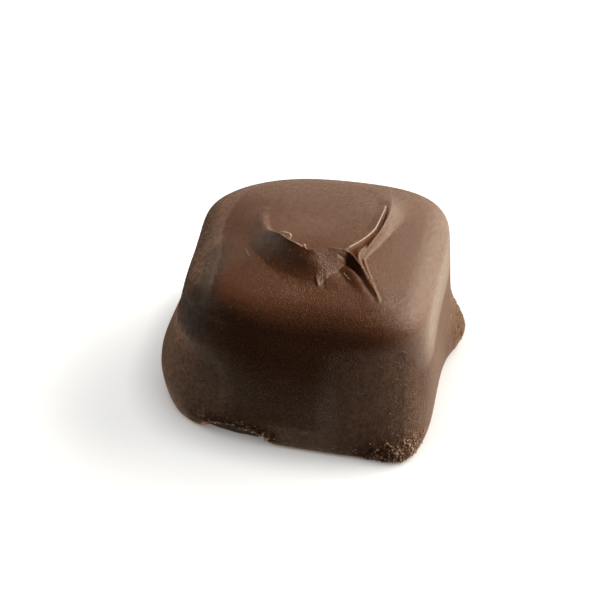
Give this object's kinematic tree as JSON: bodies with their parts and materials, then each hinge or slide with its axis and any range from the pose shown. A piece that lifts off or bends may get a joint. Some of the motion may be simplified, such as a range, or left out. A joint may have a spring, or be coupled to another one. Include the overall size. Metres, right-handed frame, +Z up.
{
  "type": "chocolate-coated caramel",
  "caption": "Rounded square bite-size sweet under a chocolate coat, with a flat base and a pulled ridge on its domed top.",
  "frame": {"origin": "middle of the flat base, on the surface that the sweet rests on", "axes": "+Z up through the domed top, -Y towards the front of the picture, +X to its right"},
  "size_m": [0.0302, 0.0268, 0.0183],
  "materials": {
    "chocolate_coat": "dark chocolate with a soft gloss, matt and grainy where it was rubbed"
  },
  "bodies": {
    "root": {"chocolate_caramel": "chocolate_coat"}
  },
  "joints": []
}
